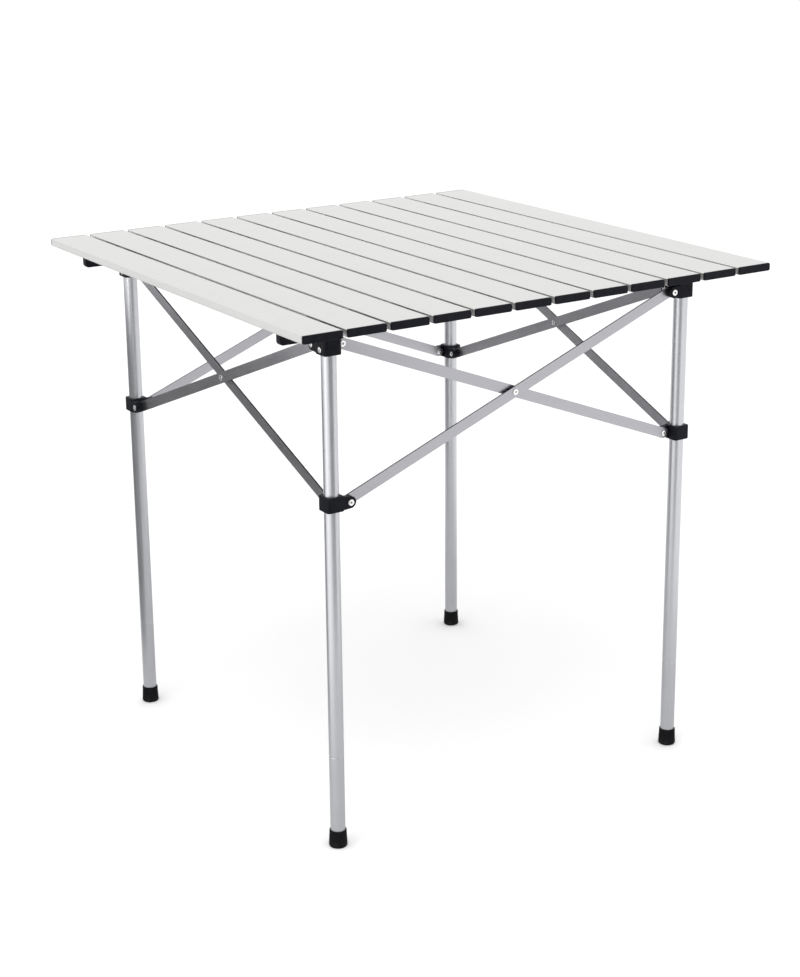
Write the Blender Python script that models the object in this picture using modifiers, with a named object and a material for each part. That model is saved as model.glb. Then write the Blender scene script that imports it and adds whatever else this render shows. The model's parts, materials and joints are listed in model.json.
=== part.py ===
"""Folding picnic table: a roll-up top of hollow aluminium slats on a frame of four round legs.

Each side of the frame is a scissor of two flat bars. The bars turn on rivets in a bracket fixed to the
top of each leg and in a collar that slides along it, so the four legs come together and stay upright.
Two loose rails lie in slots in the leg brackets and carry the slats.

Run in Blender 4.5. Units are metres, +Z is up and the origin is on the floor, under the table's middle.
The frame repeats every quarter turn, so its pieces are modelled once, for the front side and the
front left leg, and hang on an empty turned by a multiple of 90 degrees. A piece that moves has its
origin, or an empty above it, on the line that it turns about.
"""

import math

import bmesh
import bpy
from mathutils import Matrix, Vector

# Whole table
TOP_SIZE = 0.700
TABLE_HEIGHT = 0.690
GAP = 0.0003

# Slats, which run front to back
SLAT_COUNT = 12
SLAT_SPACING = 0.006
SLAT_THICKNESS = 0.010
SLAT_WALL = 0.0007
SLAT_CORNER = 0.0012
BAND_INSET = 0.074
BAND_SLOT_LENGTH = 0.036
BAND_SLOT_HEIGHT = 0.0018
BAND_DEPTH = 0.0025

# Support rails under the slats
RAIL_LENGTH = 0.674
RAIL_WIDTH = 0.009
RAIL_HEIGHT = 0.0185
RAIL_TOP_CORNER = 0.0008
RAIL_END_CORNER = 0.005

# Legs and feet
LEG_SPAN = 0.539
LEG_RADIUS = 0.0095
LEG_WALL = 0.001
CRIMP_HEIGHT = 0.125
CRIMP_DEPTH = 0.0003
FOOT_RADIUS = 0.0118
FOOT_TOP_RADIUS = 0.0109
FOOT_HEIGHT = 0.023
FOOT_SOLE = 0.004
FOOT_EDGE = 0.003

# Scissor bars: their length is between the two end pivots
BAR_LENGTH = 0.5345
BAR_WIDTH = 0.014
BAR_THICKNESS = 0.0022
OUTER_BAR_OFFSET = 0.0021
INNER_BAR_OFFSET = -0.0027

# Leg brackets and sliding collars
BODY_SIZE = 0.024
BODY_CORNER = 0.0035
BODY_EDGE = 0.0006
WEB = 0.0034
PIVOT_OFFSET = 0.0205
BRACKET_PIVOT_HEIGHT = 0.651
BRACKET_DROP = 0.0095
COLLAR_HEIGHT = 0.019
EAR_RADIUS = 0.0075
EAR_FACE = 0.0117

# Rivets
RIVET_RADIUS = 0.0022
RIVET_BORE = 0.0012
RIVET_HEAD_RADIUS = 0.0040
RIVET_TAIL_RADIUS = 0.0035
RIVET_HEAD = 0.0010
SPACER_RADIUS = 0.0060

# Roundness
ROUND_STEPS = 24
RIVET_STEPS = 10
CORNER_STEPS = 3

# Worked out from the above
SLAT_PITCH = (TOP_SIZE + SLAT_SPACING) / SLAT_COUNT
SLAT_WIDTH = SLAT_PITCH - SLAT_SPACING
SLAT_UNDERSIDE = TABLE_HEIGHT - SLAT_THICKNESS
RAIL_TOP = SLAT_UNDERSIDE - GAP
BRACKET_TOP = SLAT_UNDERSIDE - GAP
SLOT_FLOOR = RAIL_TOP - RAIL_HEIGHT - GAP
LEG_TOP = SLOT_FLOOR - WEB - GAP
LEG_BOTTOM = FOOT_SOLE + GAP
BORE_RADIUS = LEG_RADIUS + GAP
HOLE_RADIUS = RIVET_RADIUS + GAP
HALF_SPAN = LEG_SPAN / 2
BAR_RUN = LEG_SPAN - 2 * PIVOT_OFFSET
BAR_RISE = math.sqrt(BAR_LENGTH**2 - BAR_RUN**2)
BAR_TILT = math.atan2(BAR_RISE, BAR_RUN)
COLLAR_PIVOT_HEIGHT = BRACKET_PIVOT_HEIGHT - BAR_RISE
CROSSING_HEIGHT = BRACKET_PIVOT_HEIGHT - BAR_RISE / 2
OUTER_BAR_FACES = (OUTER_BAR_OFFSET - BAR_THICKNESS / 2, OUTER_BAR_OFFSET + BAR_THICKNESS / 2)
INNER_BAR_FACES = (INNER_BAR_OFFSET - BAR_THICKNESS / 2, INNER_BAR_OFFSET + BAR_THICKNESS / 2)

# The side that each quarter turn makes, and the leg at its left-hand end seen from outside
QUARTERS = (
    ("front", "front_left"),
    ("right", "front_right"),
    ("back", "back_right"),
    ("left", "back_left"),
)

# The ears that each leg and collar hangs by when the frame folds, in the same order
HINGE_EARS = ("x", "y", "y", "x")


def clear_scene():
    for obj in list(bpy.data.objects):
        bpy.data.objects.remove(obj, do_unlink=True)


def new_collection(name):
    collection = bpy.data.collections.new(name)
    bpy.context.scene.collection.children.link(collection)
    return collection


def new_material(name, colour, roughness, metallic):
    material = bpy.data.materials.new(name)
    material.use_nodes = True
    shader = material.node_tree.nodes["Principled BSDF"]
    shader.inputs["Base Color"].default_value = (*colour, 1.0)
    shader.inputs["Roughness"].default_value = roughness
    shader.inputs["Metallic"].default_value = metallic
    return material


def new_object(name, data, collection, material=None, parent=None):
    obj = bpy.data.objects.new(name, data)
    collection.objects.link(obj)
    if material:
        data.materials.append(material)
    obj.parent = parent
    return obj


def hide_cutter(obj):
    obj.hide_render = True
    obj.display_type = "WIRE"
    return obj


def arc(centre, radius, start, end, steps):
    """Points of an arc, its angles in degrees, with both of its ends."""
    turns = [math.radians(start + (end - start) * step / steps) for step in range(steps + 1)]
    return [(centre[0] + radius * math.cos(turn), centre[1] + radius * math.sin(turn)) for turn in turns]


def circle(centre, radius, steps):
    return arc(centre, radius, 0, 360, steps)[:-1]


def rounded_rectangle(width, height, corners):
    """Outline of a rectangle about its middle, with a radius for each corner from the lower left one on."""
    points = []
    for index, (side_x, side_y) in enumerate(((-1, -1), (1, -1), (1, 1), (-1, 1))):
        radius = corners[index]
        centre = (side_x * (width / 2 - radius), side_y * (height / 2 - radius))
        points += arc(centre, radius, 180 + 90 * index, 270 + 90 * index, CORNER_STEPS)
    return points


def slot_outline(start, end, radius, steps):
    """Outline of a strip with round ends, level, from start to end along X."""
    return arc((end, 0), radius, -90, 90, steps) + arc((start, 0), radius, 90, 270, steps)


def extruded(outlines, thickness):
    """Mesh of a flat shape in XY, with a thickness about Z. Outlines after the first one are holes."""
    curve = bpy.data.curves.new("outline", "CURVE")
    curve.dimensions = "2D"
    curve.fill_mode = "BOTH"
    curve.extrude = thickness / 2
    for points in outlines:
        spline = curve.splines.new("POLY")
        spline.points.add(len(points) - 1)
        for point, (x, y) in zip(spline.points, points):
            point.co = (x, y, 0, 1)
        spline.use_cyclic_u = True
    holder = bpy.data.objects.new("outline", curve)
    bpy.context.scene.collection.objects.link(holder)
    graph = bpy.context.evaluated_depsgraph_get()
    mesh = bpy.data.meshes.new_from_object(holder.evaluated_get(graph))
    bpy.data.objects.remove(holder, do_unlink=True)
    form = bmesh.new()
    form.from_mesh(mesh)
    bmesh.ops.remove_doubles(form, verts=form.verts, dist=1e-6)
    bmesh.ops.recalc_face_normals(form, faces=form.faces)
    form.to_mesh(mesh)
    form.free()
    return mesh


def turned(obj_name, profile, closed, steps, collection, material=None, parent=None):
    """Object turned about its Z axis from a profile of (radius, height) points, down its outer side."""
    mesh = bpy.data.meshes.new(obj_name)
    last = len(profile) - 1
    edges = [(index, index + 1) for index in range(last)] + ([(last, 0)] if closed else [])
    mesh.from_pydata([(radius, 0, height) for radius, height in profile], edges, [])
    obj = new_object(obj_name, mesh, collection, material, parent)
    screw = obj.modifiers.new("turn", "SCREW")
    screw.axis = "Z"
    screw.steps = steps
    screw.render_steps = steps
    screw.use_merge_vertices = True
    screw.merge_threshold = 1e-6
    screw.use_smooth_shade = True
    return obj


def shade_round(mesh):
    mesh.shade_smooth()
    mesh.set_sharp_from_angle(angle=math.radians(35))


def combine(obj, other, operation):
    boolean = obj.modifiers.new(operation.lower(), "BOOLEAN")
    boolean.operation = operation
    boolean.solver = "EXACT"
    boolean.object = other


def box(name, low, high, collection):
    mesh = bpy.data.meshes.new(name)
    form = bmesh.new()
    bmesh.ops.create_cube(form, size=1.0)
    size = Vector(high) - Vector(low)
    bmesh.ops.scale(form, vec=size, verts=form.verts)
    bmesh.ops.translate(form, vec=(Vector(low) + Vector(high)) / 2, verts=form.verts)
    form.to_mesh(mesh)
    form.free()
    return new_object(name, mesh, collection)


def cylinder(name, radius, low, high, steps, collection):
    mesh = bpy.data.meshes.new(name)
    form = bmesh.new()
    depth = high - low
    bmesh.ops.create_cone(form, cap_ends=True, segments=steps, radius1=radius, radius2=radius, depth=depth)
    bmesh.ops.translate(form, vec=(0, 0, (low + high) / 2), verts=form.verts)
    form.to_mesh(mesh)
    form.free()
    return new_object(name, mesh, collection)


def ease_edges(obj):
    bevel = obj.modifiers.new("ease", "BEVEL")
    bevel.width = BODY_EDGE
    bevel.segments = 1
    bevel.limit_method = "ANGLE"
    bevel.angle_limit = math.radians(50)
    return obj


def make_materials():
    return {
        "slat": new_material("slat_aluminium", (0.74, 0.74, 0.74), 0.38, 1.0),
        "tube": new_material("tube_aluminium", (0.66, 0.66, 0.68), 0.28, 1.0),
        "bar": new_material("bar_aluminium", (0.52, 0.52, 0.55), 0.36, 1.0),
        "rivet": new_material("rivet_steel", (0.80, 0.80, 0.80), 0.20, 1.0),
        "plastic": new_material("black_plastic", (0.018, 0.018, 0.020), 0.45, 0.0),
        "rubber": new_material("black_rubber", (0.022, 0.022, 0.023), 0.70, 0.0),
    }


def make_slats(table, cutters, materials):
    """Slats side by side, each a thin hollow box with slots in its long sides for the two elastic bands.

    Each slat's origin is in the gap before it, at the bands' height, where the top bends when it is rolled.
    """
    outer = rounded_rectangle(SLAT_WIDTH, SLAT_THICKNESS, [SLAT_CORNER] * 4)
    hollow = (SLAT_WIDTH - 2 * SLAT_WALL, SLAT_THICKNESS - 2 * SLAT_WALL)
    inner = rounded_rectangle(*hollow, [SLAT_CORNER - SLAT_WALL] * 4)
    from_hinge = Matrix.Translation((SLAT_PITCH / 2, BAND_DEPTH - SLAT_THICKNESS / 2, 0))
    band_reach = TOP_SIZE / 2 - SLAT_WIDTH / 2
    band_height = TABLE_HEIGHT - BAND_DEPTH
    slots = []
    for side, name in ((-1, "band_slot_front"), (1, "band_slot_back")):
        middle = side * (TOP_SIZE / 2 - BAND_INSET)
        low = (-band_reach, middle - BAND_SLOT_LENGTH / 2, band_height - BAND_SLOT_HEIGHT / 2)
        high = (band_reach, middle + BAND_SLOT_LENGTH / 2, band_height + BAND_SLOT_HEIGHT / 2)
        slots.append(hide_cutter(box(name, low, high, cutters)))
    for number in range(SLAT_COUNT):
        mesh = extruded([outer, inner], TOP_SIZE)
        mesh.transform(from_hinge)
        shade_round(mesh)
        slat = new_object(f"slat_{number + 1:02d}", mesh, table, materials["slat"])
        slat.rotation_euler.x = math.pi / 2
        slat.location = (-(TOP_SIZE + SLAT_SPACING) / 2 + number * SLAT_PITCH, 0, band_height)
        for slot in slots:
            combine(slat, slot, "DIFFERENCE")


def make_rails(table, materials):
    """Rails along X over the front and back legs, with their lower corners rounded off."""
    corners = [RAIL_END_CORNER, RAIL_END_CORNER, RAIL_TOP_CORNER, RAIL_TOP_CORNER]
    for side, name in ((-1, "support_rail_front"), (1, "support_rail_back")):
        mesh = extruded([rounded_rectangle(RAIL_LENGTH, RAIL_HEIGHT, corners)], RAIL_WIDTH)
        shade_round(mesh)
        rail = new_object(name, mesh, table, materials["plastic"])
        rail.rotation_euler.x = math.pi / 2
        rail.location = (0, side * HALF_SPAN, RAIL_TOP - RAIL_HEIGHT / 2)


def leg_axis(name, index, height, quarter, table):
    """Empty on a leg's axis at floor level, under an empty on the rivet that its pieces turn about."""
    to_rivet = Vector((PIVOT_OFFSET, 0, height) if HINGE_EARS[index] == "x" else (0, PIVOT_OFFSET, height))
    hinge = new_object(f"hinge_{name}", None, table, parent=quarter)
    hinge.location = Vector((-HALF_SPAN, -HALF_SPAN, 0)) + to_rivet
    axis = new_object(f"axis_{name}", None, table, parent=hinge)
    axis.location = -to_rivet
    return axis


def make_leg(name, axis, table, materials):
    """Tube from the foot to the bracket, with a shallow crimp rolled in above the foot."""
    inner = LEG_RADIUS - LEG_WALL
    groove = LEG_RADIUS - CRIMP_DEPTH
    half = 2 * CRIMP_DEPTH
    profile = [
        (LEG_RADIUS, LEG_TOP),
        (LEG_RADIUS, CRIMP_HEIGHT + 2 * half),
        (groove, CRIMP_HEIGHT + half),
        (groove, CRIMP_HEIGHT - half),
        (LEG_RADIUS, CRIMP_HEIGHT - 2 * half),
        (LEG_RADIUS, LEG_BOTTOM),
        (inner, LEG_BOTTOM),
        (inner, LEG_TOP),
    ]
    turned(f"leg_{name}", profile, True, ROUND_STEPS, table, materials["tube"], axis)


def make_foot(name, axis, table, materials):
    """Rubber cup over the end of the leg, wider at the floor, with round edges."""
    lip = (FOOT_TOP_RADIUS - BORE_RADIUS) / 2
    top = arc((FOOT_TOP_RADIUS - lip, FOOT_HEIGHT - lip), lip, 180, 0, 2)
    sole = arc((FOOT_RADIUS - FOOT_EDGE, FOOT_EDGE), FOOT_EDGE, 0, -90, CORNER_STEPS)
    profile = [(0, FOOT_SOLE), (BORE_RADIUS, FOOT_SOLE), *top, *sole, (0, 0)]
    turned(f"foot_{name}", profile, False, ROUND_STEPS, table, materials["rubber"], axis)


def moulding_body(name, low, high, table, material, axis):
    """Block with round upright corners and eased edges, about the leg's axis."""
    mesh = extruded([rounded_rectangle(BODY_SIZE, BODY_SIZE, [BODY_CORNER] * 4)], high - low)
    mesh.transform(Matrix.Translation((0, 0, (low + high) / 2)))
    return ease_edges(new_object(name, mesh, table, material, axis))


def add_ear(body, along, faces, height, cutters):
    """Joins a round-ended ear that reaches past the pivot along X or Y, and drills it for its rivet."""
    outline = slot_outline(0, PIVOT_OFFSET, EAR_RADIUS, 2 * CORNER_STEPS)
    ear = new_object(f"{body.name}_ear_{along}", extruded([outline], faces[1] - faces[0]), cutters)
    ease_edges(ear)
    middle = (faces[0] + faces[1]) / 2
    drill_reach = (-BODY_SIZE, BODY_SIZE)
    drill = cylinder(f"{body.name}_drill_{along}", HOLE_RADIUS, *drill_reach, RIVET_STEPS, cutters)
    ear.rotation_euler = (math.pi / 2, 0, 0) if along == "x" else (math.pi / 2, 0, math.pi / 2)
    drill.rotation_euler = ear.rotation_euler
    offset = (0, middle) if along == "x" else (middle, 0)
    pivot = (PIVOT_OFFSET, 0) if along == "x" else (0, PIVOT_OFFSET)
    for tool, place in ((ear, offset), (drill, pivot)):
        tool.parent = body.parent
        tool.location = (*place, height)
        hide_cutter(tool)
    combine(body, ear, "UNION")
    return drill


def ear_faces(outer):
    """How far an ear's two faces stand inboard of the leg's axis. An outer ear is outside its bar."""
    if outer:
        return (-EAR_FACE, -OUTER_BAR_FACES[1] - GAP)
    return (-INNER_BAR_FACES[0] + GAP, EAR_FACE)


def make_bracket(name, index, axis, table, cutters, materials):
    """Moulding fixed on the top of a leg, with two ears for bars and a slot along world X for the rail."""
    low = BRACKET_PIVOT_HEIGHT - BRACKET_DROP
    bracket = moulding_body(f"leg_bracket_{name}", low, BRACKET_TOP, table, materials["plastic"], axis)
    socket_top = LEG_TOP + GAP
    socket = cylinder(f"{bracket.name}_socket", BORE_RADIUS, 0, socket_top, ROUND_STEPS, cutters)
    half_slot = RAIL_WIDTH / 2 + GAP
    slot_reach = (BODY_SIZE, half_slot) if index % 2 == 0 else (half_slot, BODY_SIZE)
    slot_low = (-slot_reach[0], -slot_reach[1], SLOT_FLOOR)
    slot_high = (slot_reach[0], slot_reach[1], TABLE_HEIGHT)
    slot = box(f"{bracket.name}_slot", slot_low, slot_high, cutters)
    for tool in (socket, slot):
        tool.parent = axis
        hide_cutter(tool)
    drills = [
        add_ear(bracket, "x", ear_faces(False), BRACKET_PIVOT_HEIGHT, cutters),
        add_ear(bracket, "y", ear_faces(True), BRACKET_PIVOT_HEIGHT, cutters),
    ]
    for tool in (socket, slot, *drills):
        combine(bracket, tool, "DIFFERENCE")


def make_collar(name, axis, table, cutters, materials):
    """Moulding that slides along a leg, with two ears for the low ends of bars."""
    low = COLLAR_PIVOT_HEIGHT - COLLAR_HEIGHT / 2
    high = low + COLLAR_HEIGHT
    collar = moulding_body(f"sliding_collar_{name}", low, high, table, materials["plastic"], axis)
    reach = (COLLAR_PIVOT_HEIGHT - BODY_SIZE, COLLAR_PIVOT_HEIGHT + BODY_SIZE)
    bore = cylinder(f"{collar.name}_bore", BORE_RADIUS, *reach, ROUND_STEPS, cutters)
    bore.parent = axis
    hide_cutter(bore)
    drills = [
        add_ear(collar, "x", ear_faces(True), COLLAR_PIVOT_HEIGHT, cutters),
        add_ear(collar, "y", ear_faces(False), COLLAR_PIVOT_HEIGHT, cutters),
    ]
    for tool in (bore, *drills):
        combine(collar, tool, "DIFFERENCE")


def make_bar(name, offset, rises, hinge_at_bracket, quarter, table, materials):
    """Flat bar with round ends and three rivet holes. rises is 1 if its right-hand end is the high one."""
    shift = -rises * BAR_LENGTH / 2 if hinge_at_bracket else 0
    ends = (-BAR_LENGTH / 2 + shift, BAR_LENGTH / 2 + shift)
    outline = slot_outline(*ends, BAR_WIDTH / 2, 2 * CORNER_STEPS)
    holes = [circle((place, 0), HOLE_RADIUS, RIVET_STEPS) for place in (ends[0], shift, ends[1])]
    mesh = extruded([outline, *holes], BAR_THICKNESS)
    shade_round(mesh)
    bar = new_object(name, mesh, table, materials["bar"], quarter)
    bar.rotation_euler = (math.pi / 2, -rises * BAR_TILT, 0)
    x = rises * BAR_RUN / 2 if hinge_at_bracket else 0
    z = BRACKET_PIVOT_HEIGHT if hinge_at_bracket else CROSSING_HEIGHT
    bar.location = (x, -HALF_SPAN - offset, z)


def rivet_head(face, radius, direction):
    """Profile of a head that stands off a face, from its rim at the face to the rivet's bore."""
    start = face + direction * GAP
    crown = start + direction * RIVET_HEAD
    return [(radius, start), (radius, crown), (RIVET_BORE, crown)]


def make_rivet(name, faces, place, spacer, quarter, table, materials):
    """Hollow rivet through the stack between two faces. spacer is the two faces of a washer on it, or None."""
    head = rivet_head(faces[1], RIVET_HEAD_RADIUS, 1)
    tail = rivet_head(faces[0], RIVET_TAIL_RADIUS, -1)
    middle = []
    if spacer:
        middle = [
            (RIVET_RADIUS, spacer[1]),
            (SPACER_RADIUS, spacer[1]),
            (SPACER_RADIUS, spacer[0]),
            (RIVET_RADIUS, spacer[0]),
        ]
    shank = [(RIVET_RADIUS, head[0][1]), *middle, (RIVET_RADIUS, tail[0][1])]
    profile = head[::-1] + shank + tail
    rivet = turned(name, profile, True, RIVET_STEPS, table, materials["rivet"], quarter)
    rivet.rotation_euler.x = math.pi / 2
    rivet.location = (place[0], -HALF_SPAN, place[1])


def make_side(side, index, quarter, table, materials):
    """Scissor of one side: its outer bar climbs to the right, and its inner bar falls."""
    inner_leads = side in ("front", "right")
    outer_name, inner_name = f"outer_bar_{side}", f"inner_bar_{side}"
    make_bar(outer_name, OUTER_BAR_OFFSET, 1, not inner_leads, quarter, table, materials)
    make_bar(inner_name, INNER_BAR_OFFSET, -1, inner_leads, quarter, table, materials)
    left_leg, right_leg = QUARTERS[index][1], QUARTERS[(index + 1) % 4][1]
    outer_stack = (OUTER_BAR_FACES[0], EAR_FACE)
    inner_stack = (-EAR_FACE, INNER_BAR_FACES[1])
    pivots = (
        ("collar", left_leg, -1, COLLAR_PIVOT_HEIGHT, outer_stack),
        ("bracket", left_leg, -1, BRACKET_PIVOT_HEIGHT, inner_stack),
        ("collar", right_leg, 1, COLLAR_PIVOT_HEIGHT, inner_stack),
        ("bracket", right_leg, 1, BRACKET_PIVOT_HEIGHT, outer_stack),
    )
    for kind, leg, end, height, stack in pivots:
        place = (end * BAR_RUN / 2, height)
        make_rivet(f"{kind}_rivet_{side}_{leg}", stack, place, None, quarter, table, materials)
    stack = (INNER_BAR_FACES[0], OUTER_BAR_FACES[1])
    spacer = (INNER_BAR_FACES[1] + GAP, OUTER_BAR_FACES[0] - GAP)
    make_rivet(f"crossing_rivet_{side}", stack, (0, CROSSING_HEIGHT), spacer, quarter, table, materials)


def main():
    clear_scene()
    table = new_collection("folding_picnic_table")
    cutters = new_collection("cutters")
    materials = make_materials()
    make_slats(table, cutters, materials)
    make_rails(table, materials)
    for index, (side, leg) in enumerate(QUARTERS):
        quarter = new_object(f"quarter_{side}", None, table)
        quarter.rotation_euler.z = index * math.pi / 2
        axis = leg_axis(f"leg_{leg}", index, BRACKET_PIVOT_HEIGHT, quarter, table)
        make_leg(leg, axis, table, materials)
        make_foot(leg, axis, table, materials)
        make_bracket(leg, index, axis, table, cutters, materials)
        collar_axis = leg_axis(f"collar_{leg}", index, COLLAR_PIVOT_HEIGHT, quarter, table)
        make_collar(leg, collar_axis, table, cutters, materials)
        make_side(side, index, quarter, table, materials)


main()
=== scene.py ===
"""Looks of the folding picnic table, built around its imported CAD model.

Every CAD solid is stood for by a finer piece at the same place. The small trim that the CAD leaves out
is added: end caps, elastic bands, washers and fixing rivets. Units are metres, in the CAD's own frame.
"""

import json
import math

import bmesh
import bpy
from mathutils import Matrix, Vector


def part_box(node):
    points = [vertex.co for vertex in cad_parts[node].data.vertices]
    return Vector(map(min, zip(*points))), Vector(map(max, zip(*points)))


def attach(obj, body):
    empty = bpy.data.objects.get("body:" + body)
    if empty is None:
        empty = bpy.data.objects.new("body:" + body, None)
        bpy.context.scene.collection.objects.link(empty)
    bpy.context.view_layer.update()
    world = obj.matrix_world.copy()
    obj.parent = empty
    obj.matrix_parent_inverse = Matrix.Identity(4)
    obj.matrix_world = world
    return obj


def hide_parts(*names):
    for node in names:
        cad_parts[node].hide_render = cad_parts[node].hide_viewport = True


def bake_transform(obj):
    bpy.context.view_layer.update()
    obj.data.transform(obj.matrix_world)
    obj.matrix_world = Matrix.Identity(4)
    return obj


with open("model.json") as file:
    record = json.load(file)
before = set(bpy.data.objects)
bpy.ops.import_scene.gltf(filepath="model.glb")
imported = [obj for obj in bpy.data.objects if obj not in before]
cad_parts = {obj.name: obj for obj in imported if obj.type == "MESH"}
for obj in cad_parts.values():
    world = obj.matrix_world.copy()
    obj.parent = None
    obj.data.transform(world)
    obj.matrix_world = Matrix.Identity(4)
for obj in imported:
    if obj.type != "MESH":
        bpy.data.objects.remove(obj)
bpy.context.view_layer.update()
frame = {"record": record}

SIDES = ("front", "right", "back", "left")
LEGS = ("front_left", "front_right", "back_right", "back_left")
SLATS = [f"slat_{number:02d}" for number in range(1, 13)]

# Camera
CAMERA_PLACE = (-1.4288, -2.2335, 1.2197)
CAMERA_HEADING = 32.64
CAMERA_TILT = 16.71
CAMERA_ROLL = -0.55
CAMERA_LENS = 73.65
CAMERA_SENSOR = 36.0
CAMERA_SHIFT = (0.0, -0.05)

# Brightness of the sky at the horizon and overhead, and the height where it starts to rise
SKY_LOW = 1.02
SKY_HIGH = 1.25
SKY_START = 0.1

# Slats
SLAT_WALL = 0.0007
SLAT_CORNER = 0.0012
BAND_INSET = 0.074
BAND_WIDTH = 0.035
BAND_THICKNESS = 0.0013
BAND_DEPTH = 0.0025
BAND_REACH = 0.003
BAND_SLOT = (0.036, 0.0018)
BAND_ROUNDING = 0.35
BAND_SLICES = 6

# End caps
CAP_FLANGE = 0.0024
CAP_CORNER = 0.0022
CAP_EDGE = 0.0006
CAP_PLUG = 0.011
CAP_CLEARANCE = 0.00008

# Leg tubes
TUBE_WALL = 0.001
CRIMP_HEIGHT = 0.125
CRIMP_DEPTH = 0.0003

# Feet: grip rings are grooves round the upper part, and the tread is rings in the sole
FOOT_TAPER = 0.0009
FOOT_EDGE = 0.0026
GRIP_DROP = 0.0042
GRIP_SPACING = 0.0030
GRIP_DEPTH = 0.0003
GRIP_WIDE = 0.0006
GRIP_NARROW = 0.0002
TREAD_RINGS = (0.0074, 0.0052, 0.0030)
TREAD_DEPTH = 0.0006
TREAD_WIDE = 0.0005
TREAD_NARROW = 0.0002

# Bars. A face whose normal leans less than EDGE_SLOPE towards the bar's thickness is a cut edge, which is
# painted near black as painted shade
BAR_WIDTH = 0.014
BAR_HOLE = 0.0025
BAR_EDGE = 0.0004
EDGE_SLOPE = 0.5

# Rails, brackets and collars
HOLE_CLEARANCE = 0.0003
RAIL_CORNER = 0.0008
RAIL_END_CORNER = 0.005
BODY_HALF = 0.012
BODY_CORNER = 0.0038
BODY_EDGE = 0.0009
EAR_EDGE = 0.0006
EAR_RADIUS = 0.0075
EAR_RISE = 0.001
SLOT_REACH = 0.03
CUT_SPARE = 0.01

# Rivets: head, tail, shank and bore are radii, and a rolled head is a crown with a round rim
RIVET_HEAD = 0.0040
RIVET_TAIL = 0.0035
RIVET_SHANK = 0.0022
RIVET_BORE = 0.0012
CROWN_HEIGHT = 0.001
CROWN_ROLL = 0.00045
CROWN_RIM = 0.00055
CROWN_UNDERCUT = 0.0002
FIXING_HEIGHT = 0.648
FIXING_HEAD = 0.0036
FIXING_TAIL = 0.003
FIXING_SUNK = 0.004
FIXING_PROUD = 0.0009

# Washers
WASHER_BORE = 0.0024
WASHER_RADIUS = 0.0060
WASHER_EDGE = 0.0001
WASHER_CLEARANCE = 0.0001

# Light and dark tone of each aluminium finish
SLAT_TONES = ((0.690, 0.688, 0.680), (0.665, 0.663, 0.655))
TUBE_TONES = ((0.60, 0.61, 0.635), (0.57, 0.58, 0.605))
BAR_TONES = ((0.440, 0.440, 0.468), (0.420, 0.420, 0.448))
# The bars' edge tones below are painted shade: near black, for the dark reflection that the thin edges show
PAINTED_EDGE_SHADE_TONES = ((0.060, 0.060, 0.066), (0.040, 0.040, 0.045))

# Roughness of each aluminium finish
SLAT_ROUGHNESS = 0.34
TUBE_ROUGHNESS = 0.36
BAR_ROUGHNESS = 0.32
EDGE_ROUGHNESS = 0.5

# Dark and light tone of the other finishes
RIVET_TONES = ((0.86, 0.86, 0.85), (0.94, 0.94, 0.94))
PLASTIC_TONES = ((0.0045, 0.0048, 0.0075), (0.0075, 0.0080, 0.0125))
RUBBER_TONES = ((0.005, 0.005, 0.006), (0.022, 0.021, 0.020))
ELASTIC_TONES = ((0.006, 0.006, 0.007), (0.022, 0.022, 0.024))
FLOOR_TONES = ((0.91, 0.91, 0.91), (0.93, 0.93, 0.93))
BLACK_SPECULAR = 0.1

# Depth of each finish's relief, and how strong the aluminium's scratches are
DRAWN_LINES = 0.000007
SCRATCHES = 0.00002
SCRATCH_STRENGTH = 0.5
POLISH_MARKS = 0.00001
PLASTIC_GRAIN = 0.00003
RUBBER_GRAIN = 0.00005
ELASTIC_RIBS = 0.00015

# Floor
FLOOR_RADIUS = 40.0
FLOOR_STEPS = 96

# Area lights: name, place, target, size, power and colour
LIGHTS = (
    ("key", (-1.2, -1.6, 3.0), (0, 0, 0.4), (2.4, 2.4), 26.0, (1.0, 0.99, 0.97)),
    ("stripe", (-2.2, -0.45, 0.9), (0, 0, 0.4), (0.7, 1.8), 7.0, (1.0, 1.0, 1.0)),
)

# Cards that only gloss sees: name, place, target, size and tone
FLAGS = (
    ("flag_left", (-0.50, 0.75, 0.27), (0, 0.75, 0.27), (1.7, 0.54), 0.24),
    ("flag_front", (-0.38, -1.0, 0.45), (-0.38, 0, 0.45), (0.94, 0.9), 0.30),
    ("flag_floor", (0, 0, 0.0005), (0, 0, -1), (1.5, 1.5), 0.60),
)

# Steps round a circle, a small corner and a small round edge
ROUND_STEPS = 72
RIVET_STEPS = 32
CORNER_STEPS = 6
EDGE_STEPS = 3

# Angles, in degrees, above which an edge is kept sharp or is eased
SHARP_ANGLE = 35
MOULDING_SHARP_ANGLE = 30
EASED_ANGLE = 40

# Distances within which points count as one
WELD = 1e-6
FINE_WELD = 1e-7

BODY_OF = {}
for body_name, members in frame["record"]["behaviour"]["bodies"].items():
    for member in members:
        BODY_OF[member] = body_name


# Shapes


def arc(centre, radius, start, end, steps):
    """Points of an arc, its angles in degrees, with both of its ends."""
    turns = [math.radians(start + (end - start) * step / steps) for step in range(steps + 1)]
    return [(centre[0] + radius * math.cos(turn), centre[1] + radius * math.sin(turn)) for turn in turns]


def circle(centre, radius, steps):
    return arc(centre, radius, 0, 360, steps)[:-1]


def rounded_rectangle(width, height, corners):
    """Outline of a rectangle about its middle, with a radius for each corner from the lower left one on."""
    points = []
    for index, (side_x, side_y) in enumerate(((-1, -1), (1, -1), (1, 1), (-1, 1))):
        radius = corners[index]
        centre = (side_x * (width / 2 - radius), side_y * (height / 2 - radius))
        points += arc(centre, radius, 180 + 90 * index, 270 + 90 * index, CORNER_STEPS)
    return points


def strip_outline(length, radius):
    """Outline of a strip with round ends along X, about its middle."""
    half = length / 2
    steps = 3 * CORNER_STEPS
    return arc((half, 0), radius, -90, 90, steps) + arc((-half, 0), radius, 90, 270, steps)


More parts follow.
